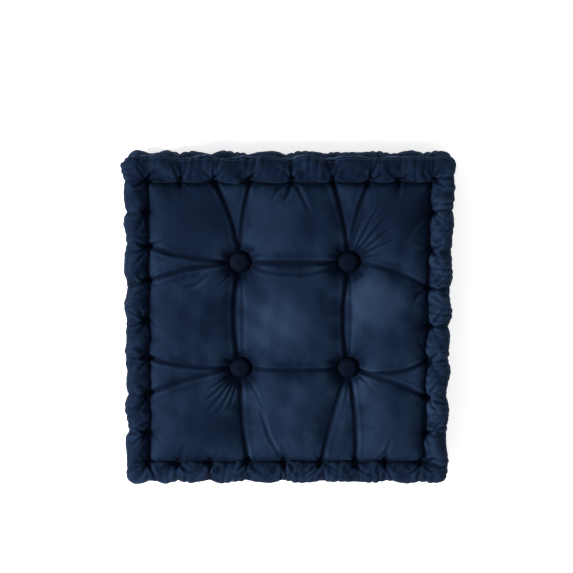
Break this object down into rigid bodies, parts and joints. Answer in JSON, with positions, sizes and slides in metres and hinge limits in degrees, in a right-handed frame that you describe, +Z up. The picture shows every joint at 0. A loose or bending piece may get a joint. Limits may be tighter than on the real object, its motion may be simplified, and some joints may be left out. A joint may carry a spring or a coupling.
{
  "type": "floor cushion",
  "caption": "Square tufted velvet floor cushion with a rolled mattress edge, a boxing strip and covered buttons pulled into its filling.",
  "frame": {"origin": "middle of the underside, where the cushion rests on the floor", "axes": "+Z up through the tufts, +X to the cushion's right, -Y to its front; the four tufts sit 7.5 mm towards the back and the right"},
  "size_m": [0.4, 0.4, 0.08],
  "materials": {
    "velvet": "navy blue cut-pile velvet with a soft sheen and uneven nap",
    "button_velvet": "the same velvet, stretched over a button",
    "fibre_batt": "needled off-white fibre batt",
    "edge_stuffing": "rolled off-white fibre",
    "stitching_thread": "waxed navy stitching twine",
    "tufting_twine": "natural tufting twine",
    "button_shell": "pressed bare aluminium",
    "button_back": "zinc plated steel"
  },
  "bodies": {
    "base": {"bottom_panel": "velvet", "boxing_back": "velvet", "boxing_front": "velvet", "boxing_left": "velvet", "boxing_right": "velvet", "edge_stitching_bottom_back": "stitching_thread", "edge_stitching_bottom_front": "stitching_thread", "edge_stitching_bottom_left": "stitching_thread", "edge_stitching_bottom_right": "stitching_thread", "edge_stuffing_bottom_back": "edge_stuffing", "edge_stuffing_bottom_front": "edge_stuffing", "edge_stuffing_bottom_left": "edge_stuffing", "edge_stuffing_bottom_right": "edge_stuffing", "filling_batt_lower": "fibre_batt", "filling_batt_middle": "fibre_batt", "tuft_twine_back_left": "tufting_twine", "tuft_twine_back_right": "tufting_twine", "tuft_twine_front_left": "tufting_twine", "tuft_twine_front_right": "tufting_twine"},
    "seat": {"edge_stitching_top_back": "stitching_thread", "edge_stitching_top_front": "stitching_thread", "edge_stitching_top_left": "stitching_thread", "edge_stitching_top_right": "stitching_thread", "edge_stuffing_top_back": "edge_stuffing", "edge_stuffing_top_front": "edge_stuffing", "edge_stuffing_top_left": "edge_stuffing", "edge_stuffing_top_right": "edge_stuffing", "filling_batt_upper": "fibre_batt", "top_panel": "velvet"},
    "button_top_front_left": {"button_back_top_front_left": "button_back", "button_cover_top_front_left": "button_velvet", "button_shell_top_front_left": "button_shell"},
    "button_top_front_right": {"button_back_top_front_right": "button_back", "button_cover_top_front_right": "button_velvet", "button_shell_top_front_right": "button_shell"},
    "button_top_back_right": {"button_back_top_back_right": "button_back", "button_cover_top_back_right": "button_velvet", "button_shell_top_back_right": "button_shell"},
    "button_top_back_left": {"button_back_top_back_left": "button_back", "button_cover_top_back_left": "button_velvet", "button_shell_top_back_left": "button_shell"},
    "button_bottom_front_left": {"button_back_bottom_front_left": "button_back", "button_cover_bottom_front_left": "button_velvet", "button_shell_bottom_front_left": "button_shell"},
    "button_bottom_front_right": {"button_back_bottom_front_right": "button_back", "button_cover_bottom_front_right": "button_velvet", "button_shell_bottom_front_right": "button_shell"},
    "button_bottom_back_right": {"button_back_bottom_back_right": "button_back", "button_cover_bottom_back_right": "button_velvet", "button_shell_bottom_back_right": "button_shell"},
    "button_bottom_back_left": {"button_back_bottom_back_left": "button_back", "button_cover_bottom_back_left": "button_velvet", "button_shell_bottom_back_left": "button_shell"}
  },
  "joints": [
    {"name": "seat_compression", "type": "slide", "parent": "base", "child": "seat", "axis": [0, 0, -1], "range_m": [0, 0.018], "stiffness_N_per_m": 8000, "springref_m": -0.0015, "deforming": ["boxing_back", "boxing_front", "boxing_left", "boxing_right", "filling_batt_middle", "tuft_twine_back_left", "tuft_twine_back_right", "tuft_twine_front_left", "tuft_twine_front_right"]},
    {"name": "button_top_front_left_swivel", "type": "hinge", "parent": "seat", "child": "button_top_front_left", "pos_m": [-0.059, -0.059, 0.06], "axis": [0, 0, 1], "range_deg": [-90, 90]},
    {"name": "button_top_front_right_swivel", "type": "hinge", "parent": "seat", "child": "button_top_front_right", "pos_m": [0.074, -0.059, 0.06], "axis": [0, 0, 1], "range_deg": [-90, 90]},
    {"name": "button_top_back_right_swivel", "type": "hinge", "parent": "seat", "child": "button_top_back_right", "pos_m": [0.074, 0.074, 0.06], "axis": [0, 0, 1], "range_deg": [-90, 90]},
    {"name": "button_top_back_left_swivel", "type": "hinge", "parent": "seat", "child": "button_top_back_left", "pos_m": [-0.059, 0.074, 0.06], "axis": [0, 0, 1], "range_deg": [-90, 90]},
    {"name": "button_bottom_front_left_swivel", "type": "hinge", "parent": "base", "child": "button_bottom_front_left", "pos_m": [-0.059, -0.059, 0.02], "axis": [0, 0, 1], "range_deg": [-90, 90]},
    {"name": "button_bottom_front_right_swivel", "type": "hinge", "parent": "base", "child": "button_bottom_front_right", "pos_m": [0.074, -0.059, 0.02], "axis": [0, 0, 1], "range_deg": [-90, 90]},
    {"name": "button_bottom_back_right_swivel", "type": "hinge", "parent": "base", "child": "button_bottom_back_right", "pos_m": [0.074, 0.074, 0.02], "axis": [0, 0, 1], "range_deg": [-90, 90]},
    {"name": "button_bottom_back_left_swivel", "type": "hinge", "parent": "base", "child": "button_bottom_back_left", "pos_m": [-0.059, 0.074, 0.02], "axis": [0, 0, 1], "range_deg": [-90, 90]}
  ]
}
